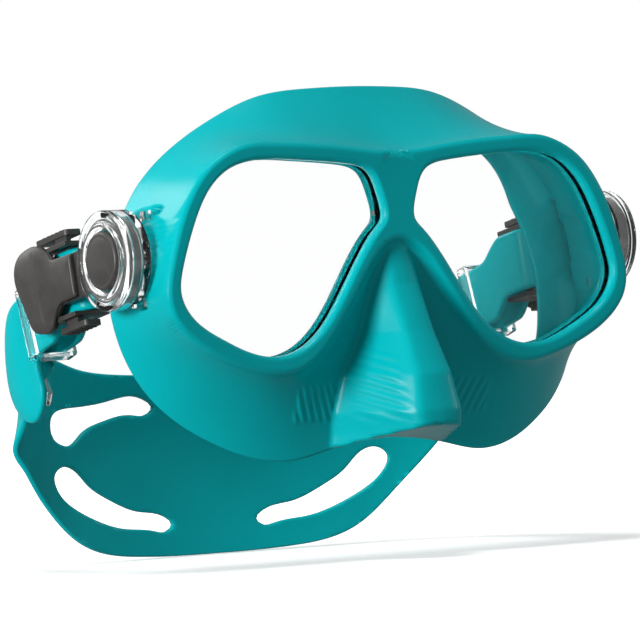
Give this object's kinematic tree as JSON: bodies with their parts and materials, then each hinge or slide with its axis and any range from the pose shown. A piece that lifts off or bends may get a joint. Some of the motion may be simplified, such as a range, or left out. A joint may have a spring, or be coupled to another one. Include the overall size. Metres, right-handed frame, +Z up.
{
  "type": "diving mask",
  "caption": "Low-volume diving mask: two lenses and a hidden steel core moulded into a silicone skirt, with swivel side buckles and a split silicone head strap.",
  "frame": {"origin": "the middle of the strap swivel axis, between the two side buckles, in the face opening", "axes": "+X towards the wearer's left, -Y the way the wearer looks, +Z up"},
  "size_m": [0.1622, 0.1152, 0.1239],
  "materials": {
    "silicone_teal": "satin moulded silicone",
    "steel": "stainless",
    "lens_glass": "clear tempered glass",
    "clear_plastic": "clear polycarbonate",
    "dark_plastic": "satin moulded plastic"
  },
  "bodies": {
    "mask": {"skirt": "silicone_teal", "core_plate": "steel", "left_lens": "lens_glass", "right_lens": "lens_glass", "left_side_bracket": "clear_plastic", "left_bracket_pin": "steel", "left_swivel_ring": "clear_plastic", "left_swivel_cap": "dark_plastic", "left_swivel_screw": "steel", "left_swivel_washer": "steel", "right_side_bracket": "clear_plastic", "right_bracket_pin": "steel", "right_swivel_ring": "clear_plastic", "right_swivel_cap": "dark_plastic", "right_swivel_screw": "steel", "right_swivel_washer": "steel"},
    "left_buckle": {"left_buckle_body": "dark_plastic", "left_roller_pin": "steel", "strap": "silicone_teal"},
    "right_buckle": {"right_buckle_body": "dark_plastic", "right_roller_pin": "steel"},
    "left_strap_roller": {"left_strap_roller": "dark_plastic"},
    "left_upper_button": {"left_upper_button": "dark_plastic"},
    "left_lower_button": {"left_lower_button": "dark_plastic"},
    "left_buckle_keeper": {"left_buckle_keeper": "clear_plastic"},
    "left_band_keeper": {"left_band_keeper": "clear_plastic"},
    "right_strap_roller": {"right_strap_roller": "dark_plastic"},
    "right_upper_button": {"right_upper_button": "dark_plastic"},
    "right_lower_button": {"right_lower_button": "dark_plastic"},
    "right_buckle_keeper": {"right_buckle_keeper": "clear_plastic"},
    "right_band_keeper": {"right_band_keeper": "clear_plastic"}
  },
  "joints": [
    {"name": "left_buckle_swing", "type": "hinge", "parent": "mask", "child": "left_buckle", "pos_m": [0.076, 0, 0], "axis": [1, 0, 0], "range_deg": [-17, 60]},
    {"name": "right_buckle_swing", "type": "hinge", "parent": "mask", "child": "right_buckle", "pos_m": [-0.076, 0, 0], "axis": [1, 0, 0], "range_deg": [-17, 60]},
    {"name": "left_roller_spin", "type": "hinge", "parent": "left_buckle", "child": "left_strap_roller", "pos_m": [0.0705, 0.02458, -0.00456], "axis": [0, 0.1822, 0.9833], "continuous": true},
    {"name": "left_upper_button_press", "type": "slide", "parent": "left_buckle", "child": "left_upper_button", "axis": [0, -0.1822, -0.9833], "range_m": [0, 0.0015], "stiffness_N_per_m": 500},
    {"name": "left_lower_button_press", "type": "slide", "parent": "left_buckle", "child": "left_lower_button", "axis": [0, 0.1822, 0.9833], "range_m": [0, 0.0015], "stiffness_N_per_m": 500},
    {"name": "left_buckle_keeper_slide", "type": "slide", "parent": "left_buckle", "child": "left_buckle_keeper", "axis": [0, 0.9511, -0.309], "range_m": [-0.0005, 0.003]},
    {"name": "left_band_keeper_slide", "type": "slide", "parent": "left_buckle", "child": "left_band_keeper", "axis": [-0.1613, 0.6274, -0.7618], "range_m": [-0.002, 0.002]},
    {"name": "right_roller_spin", "type": "hinge", "parent": "right_buckle", "child": "right_strap_roller", "pos_m": [-0.0705, 0.02458, -0.00456], "axis": [0, 0.1822, 0.9833], "continuous": true},
    {"name": "right_upper_button_press", "type": "slide", "parent": "right_buckle", "child": "right_upper_button", "axis": [0, -0.1822, -0.9833], "range_m": [0, 0.0015], "stiffness_N_per_m": 500},
    {"name": "right_lower_button_press", "type": "slide", "parent": "right_buckle", "child": "right_lower_button", "axis": [0, 0.1822, 0.9833], "range_m": [0, 0.0015], "stiffness_N_per_m": 500},
    {"name": "right_buckle_keeper_slide", "type": "slide", "parent": "left_buckle", "child": "right_buckle_keeper", "axis": [0, 0.9511, -0.309], "range_m": [-0.0005, 0.003]},
    {"name": "right_band_keeper_slide", "type": "slide", "parent": "left_buckle", "child": "right_band_keeper", "axis": [0.1613, 0.6274, -0.7618], "range_m": [-0.002, 0.002]}
  ],
  "couplings": [
    {"joint": "right_buckle_swing", "follows": "left_buckle_swing", "ratio": 1}
  ]
}
